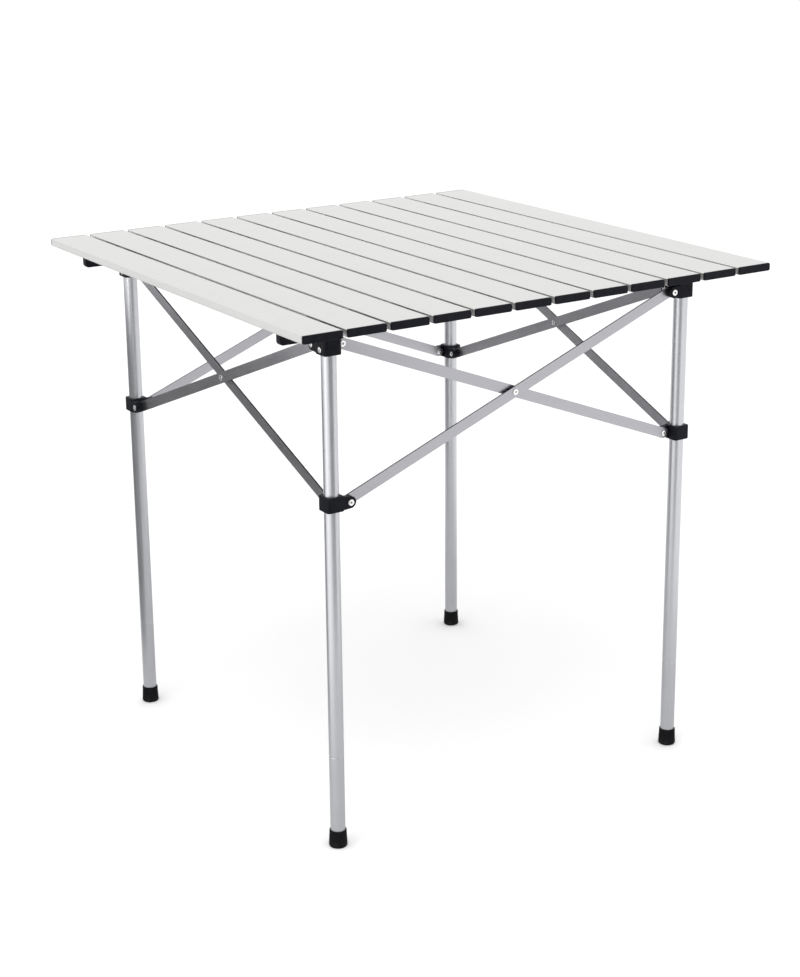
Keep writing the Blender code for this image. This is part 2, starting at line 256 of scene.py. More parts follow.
def ear_outline(root, low, high, pivot, radius):
    """Outline of an ear in a plane of (out, up): straight at its root, and round about its pivot."""
    ends = []
    for height, way in ((low, -1), (high, 1)):
        reach = Vector((root, height)) - Vector(pivot)
        lean = math.degrees(math.atan2(reach.y, reach.x)) % 360
        ends.append(lean - way * math.degrees(math.acos(radius / reach.length)))
    return [(root, high), (root, low)] + arc(pivot, radius, ends[0] - 360, ends[1], 3 * CORNER_STEPS)


def extruded(outlines, thickness):
    """Mesh of a flat shape in XY, with a thickness about Z. Outlines after the first one are holes."""
    curve = bpy.data.curves.new("outline", "CURVE")
    curve.dimensions = "2D"
    curve.fill_mode = "BOTH"
    curve.extrude = thickness / 2
    for points in outlines:
        spline = curve.splines.new("POLY")
        spline.points.add(len(points) - 1)
        for point, (x, y) in zip(spline.points, points):
            point.co = (x, y, 0, 1)
        spline.use_cyclic_u = True
    holder = bpy.data.objects.new("outline", curve)
    bpy.context.scene.collection.objects.link(holder)
    graph = bpy.context.evaluated_depsgraph_get()
    mesh = bpy.data.meshes.new_from_object(holder.evaluated_get(graph))
    bpy.data.objects.remove(holder, do_unlink=True)
    form = bmesh.new()
    form.from_mesh(mesh)
    bmesh.ops.remove_doubles(form, verts=form.verts, dist=WELD)
    bmesh.ops.recalc_face_normals(form, faces=form.faces)
    bmesh.ops.dissolve_limit(form, angle_limit=math.radians(1), verts=form.verts, edges=form.edges)
    form.to_mesh(mesh)
    form.free()
    return mesh


def turned(profile, steps, closed=False):
    """Mesh turned about Z from a profile of (radius, height) points."""
    form = bmesh.new()
    points = [form.verts.new((radius, 0, height)) for radius, height in profile]
    ends = points[1:] + points[:1] if closed else points[1:]
    edges = [form.edges.new(pair) for pair in zip(points, ends)]
    bmesh.ops.spin(form, geom=points + edges, axis=(0, 0, 1), cent=(0, 0, 0), angle=math.tau, steps=steps)
    bmesh.ops.remove_doubles(form, verts=form.verts, dist=FINE_WELD)
    bmesh.ops.recalc_face_normals(form, faces=form.faces)
    mesh = bpy.data.meshes.new("turned")
    form.to_mesh(mesh)
    form.free()
    return mesh


def block(low, high):
    """Mesh of a box between two corners, for a cut."""
    form = bmesh.new()
    bmesh.ops.create_cube(form, size=1.0)
    bmesh.ops.scale(form, vec=Vector(high) - Vector(low), verts=form.verts)
    bmesh.ops.translate(form, vec=(Vector(low) + Vector(high)) / 2, verts=form.verts)
    mesh = bpy.data.meshes.new("block")
    form.to_mesh(mesh)
    form.free()
    return mesh


def rod(radius, low, high, steps):
    """Mesh of a round rod along Z, for a cut."""
    form = bmesh.new()
    bmesh.ops.create_cone(
        form, cap_ends=True, segments=steps, radius1=radius, radius2=radius, depth=high - low
    )
    bmesh.ops.translate(form, vec=(0, 0, (low + high) / 2), verts=form.verts)
    mesh = bpy.data.meshes.new("rod")
    form.to_mesh(mesh)
    form.free()
    return mesh


# Pieces


def new_piece(name, mesh, place, material):
    piece = bpy.data.objects.new(name, mesh)
    bpy.context.scene.collection.objects.link(piece)
    piece.matrix_world = place
    mesh.materials.append(material)
    return piece


def smooth(piece, angle=SHARP_ANGLE):
    """Smooth shading over round parts, with the large faces kept flat."""
    piece.data.shade_smooth()
    piece.data.set_sharp_from_angle(angle=math.radians(angle))
    weighted = piece.modifiers.new("weighted", "WEIGHTED_NORMAL")
    weighted.weight = 100
    weighted.keep_sharp = True
    settle(piece)


def ease_edges(piece, width):
    bevel = piece.modifiers.new("ease", "BEVEL")
    bevel.width = width
    bevel.segments = EDGE_STEPS
    bevel.limit_method = "ANGLE"
    bevel.angle_limit = math.radians(EASED_ANGLE)


def settle(piece):
    """Applies the piece's modifiers to its mesh."""
    graph = bpy.context.evaluated_depsgraph_get()
    mesh = bpy.data.meshes.new_from_object(piece.evaluated_get(graph))
    piece.modifiers.clear()
    piece.data = mesh


def combine(piece, tools, operation):
    """Joins or cuts the piece with each tool object, and removes the tools."""
    for tool in tools:
        boolean = piece.modifiers.new("combine", "BOOLEAN")
        boolean.operation = operation
        boolean.solver = "EXACT"
        boolean.object = tool
        settle(piece)
        bpy.data.objects.remove(tool, do_unlink=True)


def stand_for(piece, node):
    """The piece moves with a CAD node's body, and is shown in its place while the CAD part is hidden."""
    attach(piece, BODY_OF[node])
    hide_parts(node)


def middle_of(node):
    low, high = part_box(node)
    return (low + high) / 2


def quarter_turn(index):
    return Matrix.Rotation(index * math.pi / 2, 4, "Z")


# Materials


class Finish:
    """A Principled material that is built up from procedural nodes."""

    def __init__(self, name, roughness, metallic):
        self.material = bpy.data.materials.new(name)
        self.material.use_nodes = True
        self.nodes = self.material.node_tree.nodes
        self.links = self.material.node_tree.links
        self.shader = self.nodes["Principled BSDF"]
        self.shader.inputs["Metallic"].default_value = metallic
        self.shader.inputs["Roughness"].default_value = roughness
        self.place = self.nodes.new("ShaderNodeTexCoord").outputs["Object"]
        self.normal = None

    def link(self, source, target):
        self.links.new(source, target)

    def stretched(self, scale):
        """The object's own coordinates, scaled along each axis."""
        mapping = self.nodes.new("ShaderNodeMapping")
        mapping.inputs["Scale"].default_value = scale
        self.link(self.place, mapping.inputs["Vector"])
        return mapping.outputs["Vector"]

    def noise(self, scale, detail=4.0, roughness=0.5, distortion=0.0):
        """Noise whose scale is in lumps per metre along each axis."""
        noise = self.nodes.new("ShaderNodeTexNoise")
        noise.inputs["Scale"].default_value = 1.0
        noise.inputs["Detail"].default_value = detail
        noise.inputs["Roughness"].default_value = roughness
        noise.inputs["Distortion"].default_value = distortion
        self.link(self.stretched(scale), noise.inputs["Vector"])
        return noise.outputs["Fac"]

    def spread(self, source, low, high, to_low=0.0, to_high=1.0):
        """Maps a value from one range to another, and clamps it."""
        spread = self.nodes.new("ShaderNodeMapRange")
        spread.inputs["From Min"].default_value = low
        spread.inputs["From Max"].default_value = high
        spread.inputs["To Min"].default_value = to_low
        spread.inputs["To Max"].default_value = to_high
        self.link(source, spread.inputs["Value"])
        return spread.outputs["Result"]

    def maths(self, operation, first, second):
        maths = self.nodes.new("ShaderNodeMath")
        maths.operation = operation
        for value, socket in ((first, maths.inputs[0]), (second, maths.inputs[1])):
            if isinstance(value, (int, float)):
                socket.default_value = value
            else:
                self.link(value, socket)
        return maths.outputs["Value"]

    def mixed(self, factor, first, second):
        """Mix of two colours, each a colour or a socket."""
        mix = self.nodes.new("ShaderNodeMix")
        mix.data_type = "RGBA"
        self.link(factor, mix.inputs["Factor"])
        for value, socket in ((first, mix.inputs["A"]), (second, mix.inputs["B"])):
            if isinstance(value, tuple):
                socket.default_value = (*value, 1.0)
            else:
                self.link(value, socket)
        return mix.outputs["Result"]

    def colour(self, source):
        self.link(source, self.shader.inputs["Base Color"])

    def roughness(self, source):
        self.link(source, self.shader.inputs["Roughness"])

    def bump(self, height, distance, strength=1.0):
        """Adds a bump to those before it. A height of 1 stands distance metres proud."""
        bump = self.nodes.new("ShaderNodeBump")
        bump.inputs["Distance"].default_value = distance
        bump.inputs["Strength"].default_value = strength
        self.link(height, bump.inputs["Height"])
        if self.normal:
            self.link(self.normal, bump.inputs["Normal"])
        self.normal = bump.outputs["Normal"]
        self.link(self.normal, self.shader.inputs["Normal"])


def brushed_aluminium(name, tones, roughness, along):
    """Anodised aluminium with fine drawing lines along one axis, faint clouding and a few scratches."""
    light, dark = tones
    finish = Finish(name, roughness, 1.0)
    fine = [1400.0, 1400.0, 1400.0]
    fine[along] = 9.0
    broad = [160.0, 160.0, 160.0]
    broad[along] = 1.6
    lines = finish.noise(fine, detail=3.0, roughness=0.6)
    bands = finish.noise(broad, detail=2.0)
    clouds = finish.noise((14.0, 14.0, 14.0), detail=5.0, roughness=0.6)
    scratch = finish.noise((240.0, 240.0, 240.0), detail=2.0, distortion=3.0)
    distance = finish.maths("ABSOLUTE", finish.maths("SUBTRACT", scratch, 0.5), 0.0)
    scratches = finish.spread(distance, 0.0, 0.004, 1.0, 0.0)
    rare = finish.spread(finish.noise((22.0, 22.0, 22.0), detail=1.0), 0.60, 0.68)
    scratches = finish.maths("MULTIPLY", scratches, rare)
    banding = finish.maths("MULTIPLY", bands, 0.3)
    clouding = finish.maths("MULTIPLY", clouds, 0.7)
    tone = finish.maths("ADD", banding, clouding)
    finish.colour(finish.mixed(finish.spread(tone, 0.38, 0.62), dark, light))
    rough = finish.spread(lines, 0.3, 0.7, roughness - 0.05, roughness + 0.05)
    cloudy = finish.spread(clouds, 0.35, 0.7, -0.03, 0.04)
    worn = finish.maths("MULTIPLY", scratches, 0.12 * SCRATCH_STRENGTH)
    finish.roughness(finish.maths("ADD", finish.maths("ADD", rough, cloudy), worn))
    finish.bump(lines, DRAWN_LINES)
    finish.bump(scratches, SCRATCHES, SCRATCH_STRENGTH)
    return finish.material


def plated_steel():
    """Bright plated rivets, with fine polishing marks."""
    finish = Finish("plated_rivet", 0.2, 1.0)
    marks = finish.noise((2600.0, 2600.0, 900.0), detail=3.0)
    clouds = finish.noise((500.0, 500.0, 500.0), detail=3.0)
    finish.colour(finish.mixed(finish.spread(clouds, 0.35, 0.65), *RIVET_TONES))
    finish.roughness(finish.spread(marks, 0.3, 0.7, 0.14, 0.27))
    finish.bump(marks, POLISH_MARKS)
    return finish.material


def moulded_plastic():
    """Black nylon with a fine spark-eroded grain, slightly glossy where it is rubbed."""
    finish = Finish("moulded_nylon", 0.42, 0.0)
    grain = finish.noise((2200.0, 2200.0, 2200.0), detail=2.0)
    clouds = finish.noise((120.0, 120.0, 120.0), detail=4.0)
    finish.colour(finish.mixed(finish.spread(clouds, 0.35, 0.7), *PLASTIC_TONES))
    finish.roughness(finish.spread(clouds, 0.35, 0.7, 0.36, 0.5))
    finish.bump(grain, PLASTIC_GRAIN)
    finish.shader.inputs["Specular IOR Level"].default_value = BLACK_SPECULAR
    return finish.material


def foot_rubber():
    """Matt black rubber, greyed by dust towards the floor."""
    finish = Finish("foot_rubber", 0.7, 0.0)
    grain = finish.noise((1500.0, 1500.0, 1500.0), detail=3.0)
    clouds = finish.noise((180.0, 180.0, 180.0), detail=4.0)
    height = finish.nodes.new("ShaderNodeSeparateXYZ")
    finish.link(finish.place, height.inputs["Vector"])
    low = finish.spread(height.outputs["Z"], 0.0, 0.010, 1.0, 0.0)
    dust = finish.maths("MULTIPLY", low, finish.spread(clouds, 0.4, 0.7))
    finish.colour(finish.mixed(dust, *RUBBER_TONES))
    finish.roughness(finish.spread(clouds, 0.3, 0.7, 0.62, 0.8))
    finish.bump(grain, RUBBER_GRAIN)
    finish.shader.inputs["Specular IOR Level"].default_value = BLACK_SPECULAR
    return finish.material


def woven_elastic():
    """Black elastic webbing: ribs across the band and a fine weave along it."""
    finish = Finish("woven_elastic", 0.85, 0.0)
    wave = finish.nodes.new("ShaderNodeTexWave")
    wave.wave_type = "BANDS"
    wave.bands_direction = "Y"
    wave.inputs["Scale"].default_value = 1.0
    wave.inputs["Distortion"].default_value = 0.4
    finish.link(finish.stretched((0.0, 250.0, 0.0)), wave.inputs["Vector"])
    weave = finish.noise((1800.0, 700.0, 700.0), detail=2.0)
    ribs = finish.maths("ADD", wave.outputs["Fac"], finish.maths("MULTIPLY", weave, 0.6))
    finish.colour(finish.mixed(finish.spread(ribs, 0.2, 1.4), *ELASTIC_TONES))
    finish.roughness(finish.spread(weave, 0.3, 0.7, 0.78, 0.92))
    finish.bump(ribs, ELASTIC_RIBS)
    finish.shader.inputs["Sheen Weight"].default_value = 0.25
    return finish.material


def studio_floor():
    finish = Finish("pale_floor", 0.8, 0.0)
    grain = finish.noise((3.0, 3.0, 3.0), detail=3.0)
    finish.colour(finish.mixed(grain, *FLOOR_TONES))
    finish.shader.inputs["Specular IOR Level"].default_value = 0.0
    return finish.material


# The top


def make_slats(aluminium):
    """Hollow slats, with a slot for each band in every long side that faces another slat."""
    for index, name in enumerate(SLATS):
        low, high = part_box(name)
        size = high - low
        outer = rounded_rectangle(size.x, size.z, [SLAT_CORNER] * 4)
        hollow = (size.x - 2 * SLAT_WALL, size.z - 2 * SLAT_WALL)
        inner = rounded_rectangle(*hollow, [SLAT_CORNER - SLAT_WALL] * 4)
        mesh = extruded([outer, inner], size.y - 2 * CAP_FLANGE)
        mesh.transform(Matrix.Rotation(math.pi / 2, 4, "X"))
        piece = new_piece(f"{name}_profile", mesh, Matrix.Translation((low + high) / 2), aluminium)
        slots = []
        for end in (-1, 1):
            for way in (-1, 1):
                if 0 <= index + way < len(SLATS):
                    middle_y = end * (size.y / 2 - BAND_INSET)
                    centre = Vector((way * size.x / 2, middle_y, size.z / 2 - BAND_DEPTH))
                    reach = Vector((size.x / 4, BAND_SLOT[0] / 2, BAND_SLOT[1] / 2))
                    cut = block(centre - reach, centre + reach)
                    slots.append(new_piece("slot", cut, piece.matrix_world, aluminium))
        combine(piece, slots, "DIFFERENCE")
        smooth(piece)
        stand_for(piece, name)


def make_end_caps(plastic):
    """Black caps on the slats' ends: a flange with the slat's outline, and a plug pressed into it."""
    for number, name in enumerate(SLATS, 1):
        low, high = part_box(name)
        width, height = high.x - low.x, high.z - low.z
        inset = 2 * (SLAT_WALL + CAP_CLEARANCE)
        for end, end_name in ((-1, "front"), (1, "back")):
            face = end * (high.y - low.y) / 2
            stand = Matrix.Translation((low + high) / 2) @ Matrix.Rotation(math.pi / 2, 4, "X")
            flange = extruded([rounded_rectangle(width, height, [CAP_CORNER] * 4)], CAP_FLANGE)
            flange.transform(Matrix.Translation((0, 0, end * CAP_FLANGE / 2 - face)))
            cap = new_piece(f"end_cap_{end_name}_{number:02d}", flange, stand, plastic)
            ease_edges(cap, CAP_EDGE)
            settle(cap)
            outline = rounded_rectangle(width - inset, height - inset, [CAP_EDGE] * 4)
            plug = extruded([outline], CAP_PLUG)
            plug.transform(Matrix.Translation((0, 0, end * CAP_PLUG / 2 - face)))
            plug.transform(Matrix.Translation((0, 0, end * CAP_FLANGE / 2)))
            combine(cap, [new_piece("plug", plug, stand, plastic)], "UNION")
            smooth(cap)
            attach(cap, BODY_OF[name])


def make_bands(elastic):
    """Each band's stretch across each gap, running a little way into the slots on both sides."""
    for number, (name, next_name) in enumerate(zip(SLATS, SLATS[1:]), 1):
        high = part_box(name)[1]
        left, right = high.x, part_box(next_name)[0].x
        for end, end_name in ((-1, "front"), (1, "back")):
            middle_y = end * (high.y - BAND_INSET)
            middle = Vector(((left + right) / 2, middle_y, high.z - BAND_DEPTH))
            outline = rounded_rectangle(BAND_WIDTH, BAND_THICKNESS, [BAND_THICKNESS * BAND_ROUNDING] * 4)
            mesh = extruded([outline], right - left + 2 * BAND_REACH)
            band_name = f"elastic_band_{end_name}_{number:02d}"
            band = new_piece(band_name, mesh, Matrix.Translation(middle), elastic)
            mesh.transform(Matrix.Rotation(math.pi / 2, 4, "Z") @ Matrix.Rotation(math.pi / 2, 4, "X"))
            cut_across(mesh, BAND_SLICES)
            smooth(band)
            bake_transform(band)


def cut_across(mesh, parts):
    """Divides a mesh into slices along X, so that it can bend."""
    form = bmesh.new()
    form.from_mesh(mesh)
    places = [vertex.co.x for vertex in form.verts]
    low, high = min(places), max(places)
    for step in range(1, parts):
        geometry = form.verts[:] + form.edges[:] + form.faces[:]
        cut = low + (high - low) * step / parts
        bmesh.ops.bisect_plane(
            form, geom=geometry, plane_co=(cut, 0, 0), plane_no=(1, 0, 0), dist=FINE_WELD
        )
    form.to_mesh(mesh)
    form.free()


def make_rails(plastic):
    for side in ("front", "back"):
        name = f"support_rail_{side}"
        low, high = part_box(name)
        size = high - low
        corners = [RAIL_END_CORNER, RAIL_END_CORNER, RAIL_CORNER, RAIL_CORNER]
        mesh = extruded([rounded_rectangle(size.x, size.z, corners)], size.y)
        mesh.transform(Matrix.Rotation(math.pi / 2, 4, "X"))
        piece = new_piece(f"{name}_bar", mesh, Matrix.Translation((low + high) / 2), plastic)
        ease_edges(piece, BODY_EDGE)
        settle(piece)
        smooth(piece)
        stand_for(piece, name)


# The frame


def make_leg(name, tube, rubber):
    """Tube with a crimp rolled in near its foot, and its rubber foot."""
    low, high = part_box(f"leg_{name}")
    middle = (low + high) / 2
    radius = (high.x - low.x) / 2
    groove = radius - CRIMP_DEPTH
    half = 3 * CRIMP_DEPTH
    crimp = [
        (radius, CRIMP_HEIGHT + 2 * half),
        (radius - 0.15 * CRIMP_DEPTH, CRIMP_HEIGHT + 1.5 * half),
        (groove, CRIMP_HEIGHT + 0.5 * half),
        (groove, CRIMP_HEIGHT - 0.5 * half),
        (radius - 0.15 * CRIMP_DEPTH, CRIMP_HEIGHT - 1.5 * half),
        (radius, CRIMP_HEIGHT - 2 * half),
    ]
    inner = radius - TUBE_WALL
    profile = [(radius, high.z), *crimp, (radius, low.z), (inner, low.z), (inner, high.z)]
    place = Matrix.Translation((middle.x, middle.y, 0))
    leg = new_piece(f"leg_{name}_tube", turned(profile, ROUND_STEPS, closed=True), place, tube)
    smooth(leg)
    stand_for(leg, f"leg_{name}")
    make_foot(name, radius, low.z, place, rubber)


def make_foot(name, tube_radius, tube_end, place, rubber):
    """Rubber cup with two grip rings near its top and rings of tread in its sole."""
    low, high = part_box(f"foot_{name}")
    wide = (high.x - low.x) / 2
    narrow = wide - FOOT_TAPER
    bore = tube_radius + HOLE_CLEARANCE
    sole = tube_end - HOLE_CLEARANCE
    lip = (narrow - bore) / 2
    rings = []
    for step in range(2):
        height = high.z - GRIP_DROP - GRIP_SPACING * step
        here = narrow + (wide - narrow) * (high.z - height) / high.z
        rings += [
            (here, height + GRIP_WIDE),
            (here - GRIP_DEPTH, height + GRIP_NARROW),
            (here - GRIP_DEPTH, height - GRIP_NARROW),
            (here, height - GRIP_WIDE),
        ]
    tread = []
    for radius in TREAD_RINGS:
        tread += [
            (radius + TREAD_WIDE, 0),
            (radius + TREAD_NARROW, TREAD_DEPTH),
            (radius - TREAD_NARROW, TREAD_DEPTH),
            (radius - TREAD_WIDE, 0),
        ]
    profile = [
        (0, sole),
        (bore, sole),
        *arc((narrow - lip, high.z - lip), lip, 180, 0, 2 * CORNER_STEPS),
        *rings,
        *arc((wide - FOOT_EDGE, FOOT_EDGE), FOOT_EDGE, 0, -90, CORNER_STEPS),
        *tread,
        (0, 0),
    ]
    foot = new_piece(f"foot_{name}_cup", turned(profile, ROUND_STEPS), place, rubber)
    smooth(foot)
    stand_for(foot, f"foot_{name}")


def make_moulding(node, index, ears, cuts, plastic):
    """Block about a leg, cut by meshes. Each ear is (along, faces, pivot, root_low, root_high)."""
    low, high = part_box(node)
    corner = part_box(f"leg_{LEGS[index]}")
    axis = (corner[0] + corner[1]) / 2
    place = Matrix.Translation((axis.x, axis.y, 0)) @ quarter_turn(index)
    outline = rounded_rectangle(2 * BODY_HALF, 2 * BODY_HALF, [BODY_CORNER] * 4)
    mesh = extruded([outline], high.z - low.z)
    mesh.transform(Matrix.Translation((0, 0, (low.z + high.z) / 2)))
    piece = new_piece(f"{node}_moulding", mesh, place, plastic)
    ease_edges(piece, BODY_EDGE)
    settle(piece)
    for along, faces, pivot, root_low, root_high in ears:
        outline = ear_outline(BODY_HALF / 2, root_low, root_high, pivot, EAR_RADIUS)
        mesh = extruded([outline], faces[1] - faces[0])
        middle = (faces[0] + faces[1]) / 2
        stand = Matrix.Translation((0, middle, 0)) @ Matrix.Rotation(math.pi / 2, 4, "X")
        if along == "y":
            turn = Matrix.Rotation(math.pi / 2, 4, "Z")
            stand = Matrix.Translation((middle, 0, 0)) @ turn @ Matrix.Rotation(math.pi / 2, 4, "X")
        ear = new_piece("ear", mesh, place @ stand, plastic)
        ease_edges(ear, EAR_EDGE)
        settle(ear)
        combine(piece, [ear], "UNION")
    combine(piece, [new_piece("cut", cut, place, plastic) for cut in cuts], "DIFFERENCE")
    smooth(piece, MOULDING_SHARP_ANGLE)
    stand_for(piece, node)


def scissor_facts():
    """Where the front scissor's pieces lie from the front left leg's axis: along X, outboard and up."""
    leg = middle_of("leg_front_left")
    collar_pivot = middle_of("collar_rivet_front_front_left")
    bracket_pivot = middle_of("bracket_rivet_front_front_left")
    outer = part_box("outer_bar_front")
    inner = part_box("inner_bar_front")
    return {
        "offset": collar_pivot.x - leg.x,
        "collar": collar_pivot.z,
        "bracket": bracket_pivot.z,
        "outer": (leg.y - outer[1].y, leg.y - outer[0].y),
        "inner": (leg.y - inner[1].y, leg.y - inner[0].y),
        "leg": leg,
    }


def make_brackets_and_collars(plastic):
    facts = scissor_facts()
    face = BODY_HALF - HOLE_CLEARANCE
    outer_ear = (-face, -facts["outer"][1] - HOLE_CLEARANCE)
    inner_ear = (-facts["inner"][0] + HOLE_CLEARANCE, face)
    leg_low, leg_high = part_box("leg_front_left")
    bore_radius = (leg_high.x - leg_low.x) / 2 + HOLE_CLEARANCE
    rail_low, rail_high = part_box("support_rail_front")
    for index, name in enumerate(LEGS):
        node = f"leg_bracket_{name}"
        low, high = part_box(node)
        pivot = (facts["offset"], facts["bracket"])
        ears = [
            ("x", inner_ear, pivot, low.z + BODY_EDGE, pivot[1] + EAR_RADIUS + EAR_RISE),
            ("y", outer_ear, pivot, low.z + BODY_EDGE, pivot[1] + EAR_RADIUS + EAR_RISE),
        ]
        half_slot = (rail_high.y - rail_low.y) / 2 + HOLE_CLEARANCE
        slot_floor = rail_low.z - HOLE_CLEARANCE
        reach_x, reach_y = (SLOT_REACH, half_slot) if index % 2 == 0 else (half_slot, SLOT_REACH)
        slot = block((-reach_x, -reach_y, slot_floor), (reach_x, reach_y, high.z + CUT_SPARE))
        socket = rod(bore_radius, 0, leg_high.z + HOLE_CLEARANCE, ROUND_STEPS)
        make_moulding(node, index, ears, [socket, slot, *drills(pivot)], plastic)
        node = f"sliding_collar_{name}"
        low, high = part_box(node)
        pivot = (facts["offset"], facts["collar"])
        ears = [
            ("x", outer_ear, pivot, low.z + BODY_EDGE, high.z - BODY_EDGE),
            ("y", inner_ear, pivot, low.z + BODY_EDGE, high.z - BODY_EDGE),
        ]
        bore = rod(bore_radius, low.z - CUT_SPARE, high.z + CUT_SPARE, ROUND_STEPS)
        make_moulding(node, index, ears, [bore, *drills(pivot)], plastic)


def drills(pivot):
    """Meshes that drill both ears for their rivets."""
    made = []
    for along in ("x", "y"):
        drill = rod(BAR_HOLE, -SLOT_REACH, SLOT_REACH, RIVET_STEPS)
        drill.transform(Matrix.Rotation(math.pi / 2, 4, "X"))
        drill.transform(Matrix.Translation((pivot[0], 0, pivot[1])))
        if along == "y":
            drill.transform(Matrix.Rotation(math.pi / 2, 4, "Z"))
        made.append(drill)
    return made


def paint_edge_shade(bar, material):
    """Gives the sheared edges and drilled holes of a flat bar their own material, painted near black:
    painted shade for the dark reflection along the thin edges.
    """
    bar.data.materials.append(material)
    for face in bar.data.polygons:
        if abs(face.normal.z) < EDGE_SLOPE:
            face.material_index = 1


def make_bar(name, index, start, end, faces, material, edge_shade_material):
    """Flat bar with round ends between two pivots, which are (along, up) points of a side."""
    span = Vector(end) - Vector(start)
    outline = strip_outline(span.length, BAR_WIDTH / 2)
    places = (-span.length / 2, 0, span.length / 2)
    holes = [circle((place, 0), BAR_HOLE, RIVET_STEPS) for place in places]
    mesh = extruded([outline, *holes], faces[1] - faces[0])
    middle = (Vector(start) + Vector(end)) / 2
    tilt = math.atan2(span.y, span.x)
    out = middle_of("leg_front_left").y - (faces[0] + faces[1]) / 2
    place = quarter_turn(index) @ Matrix.Translation((middle.x, out, middle.y))
    place = place @ Matrix.Rotation(math.pi / 2, 4, "X") @ Matrix.Rotation(tilt, 4, "Z")
    bar = new_piece(f"{name}_strip", mesh, place, material)
    ease_edges(bar, BAR_EDGE)
    settle(bar)
    # The edge faces get the near-black painted shade
    paint_edge_shade(bar, edge_shade_material)
    smooth(bar)
    stand_for(bar, name)


def rivet_profile(low, high, head, tail):
    """Closed profile of a hollow rivet with a rolled head at both ends, between two heights."""
    roll = CROWN_ROLL
    crowns = []
    for face, radius, way in ((high, head, 1), (low, tail, -1)):
        rim = arc((radius - roll, face - way * CROWN_RIM), roll, 0, 90 * way, CORNER_STEPS)
        throat_centre = (RIVET_BORE + roll, face - way * roll)
        throat = arc(throat_centre, roll, 90 * way, 180 * way, CORNER_STEPS)
        shoulder = face - way * CROWN_HEIGHT
        under = [(RIVET_SHANK, shoulder), (radius - CROWN_UNDERCUT, shoulder)]
        crowns.append(under + rim + throat)
    return crowns[0] + crowns[1][::-1]


def make_rivet(name, index, place, material):
    """Hollow rivet across a side, at an (along, up) point of it and between its CAD node's faces."""
    profile = rivet_profile(*outboard(name, index), RIVET_HEAD, RIVET_TAIL)
    mesh = turned(profile, RIVET_STEPS, closed=True)
    out = middle_of("leg_front_left").y
    lie = Matrix.Translation((place[0], out, place[1])) @ Matrix.Rotation(math.pi / 2, 4, "X")
    piece = new_piece(f"{name}_eyelet", mesh, quarter_turn(index) @ lie, material)
    smooth(piece)
    stand_for(piece, name)


def make_sides(bar_material, edge_shade_material, rivet_material, plastic):
    facts = scissor_facts()
    leg = facts["leg"]
    reach = -leg.x - facts["offset"]
    crossing = (facts["collar"] + facts["bracket"]) / 2
    for index, side in enumerate(SIDES):
        left_leg, right_leg = LEGS[index], LEGS[(index + 1) % 4]
        ends = ((-reach, facts["collar"]), (reach, facts["bracket"]))
        make_bar(f"outer_bar_{side}", index, *ends, facts["outer"], bar_material, edge_shade_material)
        ends = ((-reach, facts["bracket"]), (reach, facts["collar"]))
        make_bar(f"inner_bar_{side}", index, *ends, facts["inner"], bar_material, edge_shade_material)
        for kind, leg_name, place in (
            ("collar", left_leg, (-reach, facts["collar"])),
            ("bracket", left_leg, (-reach, facts["bracket"])),
            ("collar", right_leg, (reach, facts["collar"])),
            ("bracket", right_leg, (reach, facts["bracket"])),
        ):
            make_rivet(f"{kind}_rivet_{side}_{leg_name}", index, place, rivet_material)
        make_rivet(f"crossing_rivet_{side}", index, (0, crossing), rivet_material)
        make_washer(side, index, crossing, (facts["inner"][1], facts["outer"][0]), plastic)


def outboard(node, index):
    """How far a node's faces lie outboard of the legs' axes, on the side that a quarter turn makes."""
    low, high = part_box(node)
    turn = quarter_turn(index).inverted()
    faces = [(turn @ corner).y for corner in (low, high)]
    line = middle_of("leg_front_left").y
    return (line - max(faces), line - min(faces))


def make_washer(side, index, height, faces, plastic):
    """Thin black washer between the two bars where they cross."""
    low, high = faces[0] + WASHER_CLEARANCE, faces[1] - WASHER_CLEARANCE
    profile = [
        (WASHER_BORE, low),
        (WASHER_RADIUS - WASHER_EDGE, low),
        (WASHER_RADIUS, low + WASHER_EDGE),
        (WASHER_RADIUS, high - WASHER_EDGE),
        (WASHER_RADIUS - WASHER_EDGE, high),
        (WASHER_BORE, high),
    ]
    out = middle_of("leg_front_left").y
    lie = Matrix.Translation((0, out, height)) @ Matrix.Rotation(math.pi / 2, 4, "X")
    mesh = turned(profile, RIVET_STEPS, closed=True)
    piece = new_piece(f"crossing_washer_{side}", mesh, quarter_turn(index) @ lie, plastic)
    smooth(piece)
    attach(piece, BODY_OF[f"crossing_rivet_{side}"])


def make_fixing_rivets(rivet_material):
    """The rivet that fastens each bracket to its leg, on the bracket's outer face along X."""
    for name in LEGS:
        axis = middle_of(f"leg_{name}")
        way = 1 if axis.x > 0 else -1
        start, end = BODY_HALF - FIXING_SUNK, BODY_HALF + FIXING_PROUD
        profile = rivet_profile(start, end, FIXING_HEAD, FIXING_TAIL)
        mesh = turned(profile, RIVET_STEPS, closed=True)
        place = Matrix.Translation((axis.x, axis.y, FIXING_HEIGHT))
        place = place @ Matrix.Rotation(way * math.pi / 2, 4, "Y")
        piece = new_piece(f"fixing_rivet_{name}", mesh, place, rivet_material)
        smooth(piece)
        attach(piece, BODY_OF[f"leg_{name}"])


# The studio


def make_camera():
    data = bpy.data.cameras.new("camera")
    data.sensor_width = CAMERA_SENSOR
    data.lens = CAMERA_LENS
    data.shift_x, data.shift_y = CAMERA_SHIFT
    camera = bpy.data.objects.new("camera", data)
    bpy.context.scene.collection.objects.link(camera)
    heading = Matrix.Rotation(math.radians(-CAMERA_HEADING), 4, "Z")
    tilt = Matrix.Rotation(math.radians(90 - CAMERA_TILT), 4, "X")
    roll = Matrix.Rotation(math.radians(CAMERA_ROLL), 4, "Z")
    camera.matrix_world = Matrix.Translation(CAMERA_PLACE) @ heading @ tilt @ roll
    bpy.context.scene.camera = camera


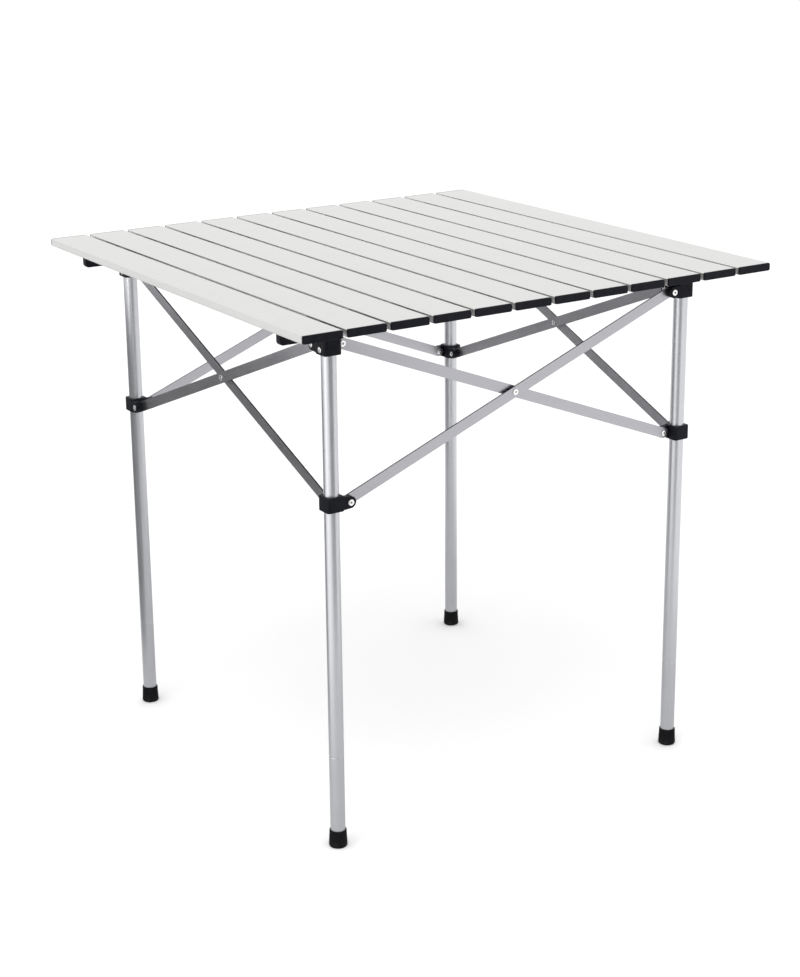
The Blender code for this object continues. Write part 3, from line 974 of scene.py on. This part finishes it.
def add_light(name, place, target, size, power, colour):
    data = bpy.data.lights.new(name, "AREA")
    data.shape = "RECTANGLE"
    data.size, data.size_y = size
    data.energy = power
    data.color = colour
    light = bpy.data.objects.new(name, data)
    bpy.context.scene.collection.objects.link(light)
    light.location = place
    light.rotation_euler = (Vector(place) - Vector(target)).to_track_quat("Z", "Y").to_euler()


def add_flag(name, place, target, size, tone):
    """Card that only the gloss of other pieces sees."""
    form = bmesh.new()
    bmesh.ops.create_grid(form, x_segments=1, y_segments=1, size=0.5)
    mesh = bpy.data.meshes.new(name)
    form.to_mesh(mesh)
    form.free()
    finish = Finish(name, 1.0, 0.0)
    finish.shader.inputs["Base Color"].default_value = (tone, tone, tone, 1.0)
    mesh.materials.append(finish.material)
    card = bpy.data.objects.new(name, mesh)
    bpy.context.scene.collection.objects.link(card)
    card.location = place
    card.rotation_euler = (Vector(place) - Vector(target)).to_track_quat("Z", "Y").to_euler()
    card.scale = (*size, 1.0)
    card.visible_camera = False
    card.visible_diffuse = False
    card.visible_shadow = False
    card.visible_transmission = False


def make_studio():
    scene = bpy.context.scene
    scene.view_settings.view_transform = "Standard"
    world = bpy.data.worlds.new("studio")
    world.use_nodes = True
    background = world.node_tree.nodes["Background"]
    sky = world.node_tree.nodes
    wires = world.node_tree.links
    height = sky.new("ShaderNodeSeparateXYZ")
    strength = sky.new("ShaderNodeMapRange")
    wires.new(sky.new("ShaderNodeTexCoord").outputs["Generated"], height.inputs["Vector"])
    wires.new(height.outputs["Z"], strength.inputs["Value"])
    strength.inputs["From Min"].default_value = SKY_START
    strength.inputs["To Min"].default_value = SKY_LOW
    strength.inputs["To Max"].default_value = SKY_HIGH
    wires.new(strength.outputs["Result"], background.inputs["Strength"])
    background.inputs["Color"].default_value = (1.0, 1.0, 1.0, 1.0)
    scene.world = world
    form = bmesh.new()
    bmesh.ops.create_circle(form, cap_ends=True, segments=FLOOR_STEPS, radius=FLOOR_RADIUS)
    mesh = bpy.data.meshes.new("floor")
    form.to_mesh(mesh)
    form.free()
    mesh.materials.append(studio_floor())
    floor = bpy.data.objects.new("floor", mesh)
    scene.collection.objects.link(floor)
    for light in LIGHTS:
        add_light(*light)
    for flag in FLAGS:
        add_flag(*flag)


def main():
    slat = brushed_aluminium("slat_aluminium", SLAT_TONES, SLAT_ROUGHNESS, along=1)
    tube = brushed_aluminium("tube_aluminium", TUBE_TONES, TUBE_ROUGHNESS, along=2)
    bar = brushed_aluminium("bar_aluminium", BAR_TONES, BAR_ROUGHNESS, along=0)
    # Near-black painted shade for the bars' thin edge faces
    edge = brushed_aluminium("bar_edge_painted_shade", PAINTED_EDGE_SHADE_TONES, EDGE_ROUGHNESS, along=0)
    rivet = plated_steel()
    plastic = moulded_plastic()
    rubber = foot_rubber()
    elastic = woven_elastic()
    make_camera()
    make_slats(slat)
    make_end_caps(plastic)
    make_bands(elastic)
    make_rails(plastic)
    for name in LEGS:
        make_leg(name, tube, rubber)
    make_brackets_and_collars(plastic)
    make_sides(bar, edge, rivet, plastic)
    make_fixing_rivets(rivet)
    make_studio()


main()
